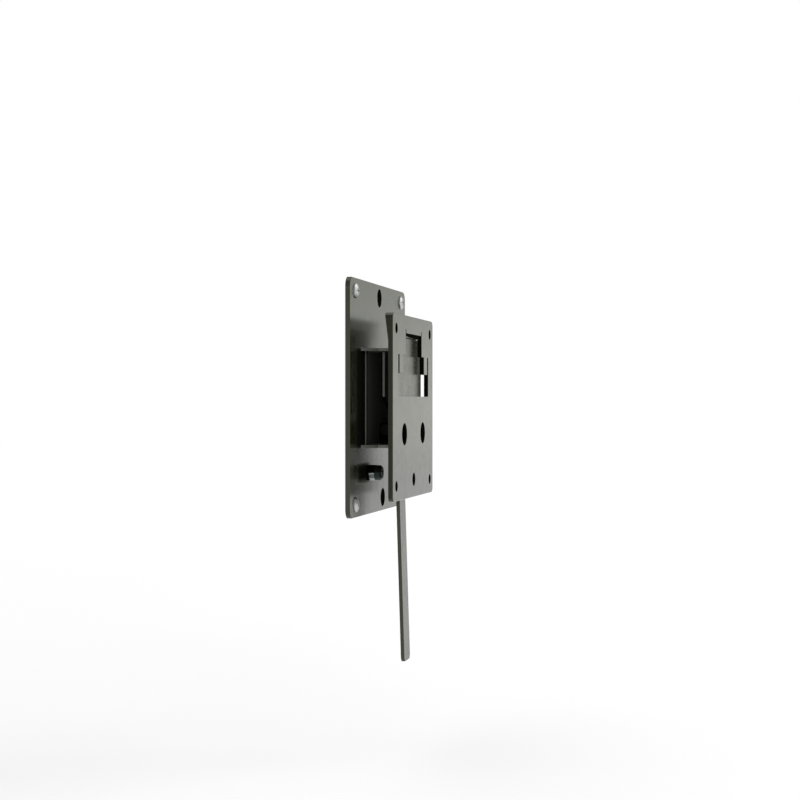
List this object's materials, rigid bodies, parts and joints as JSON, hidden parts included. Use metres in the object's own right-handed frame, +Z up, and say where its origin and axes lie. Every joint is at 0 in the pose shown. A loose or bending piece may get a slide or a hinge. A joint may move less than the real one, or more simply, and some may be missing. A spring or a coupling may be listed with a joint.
{
  "type": "fixed screen wall mount",
  "caption": "Low fixed wall mount: square wall plate, folded hook bracket, square screen plate with a stepped window, and a long release lever hanging below.",
  "frame": {"origin": "centre of the wall plate's back face, on the wall", "axes": "+X to the right seen from the room, +Y into the wall, +Z up"},
  "size_m": [0.152, 0.0265, 0.2488],
  "materials": {
    "black_coat": "satin powder coat, near black",
    "bright_zinc": "bright zinc",
    "spring_steel": "oiled",
    "dark_cap": "matte"
  },
  "bodies": {
    "mount": {"wall_plate": "black_coat", "wall_screws": "bright_zinc", "hook_bracket": "black_coat", "display_plate": "black_coat", "lever_pin": "spring_steel", "pin_clip": "spring_steel", "return_spring": "spring_steel", "stop_stud": "bright_zinc", "stud_nut": "bright_zinc", "stud_cap": "dark_cap"},
    "lever": {"release_lever": "black_coat"}
  },
  "joints": [
    {"name": "lever_pull", "type": "hinge", "parent": "mount", "child": "lever", "pos_m": [0, -0.0103, -0.021], "axis": [-1, 0, 0], "range_deg": [0, 4], "stiffness_Nm_per_rad": 0.3, "springref_deg": -9.74, "deforming": ["return_spring"]}
  ]
}
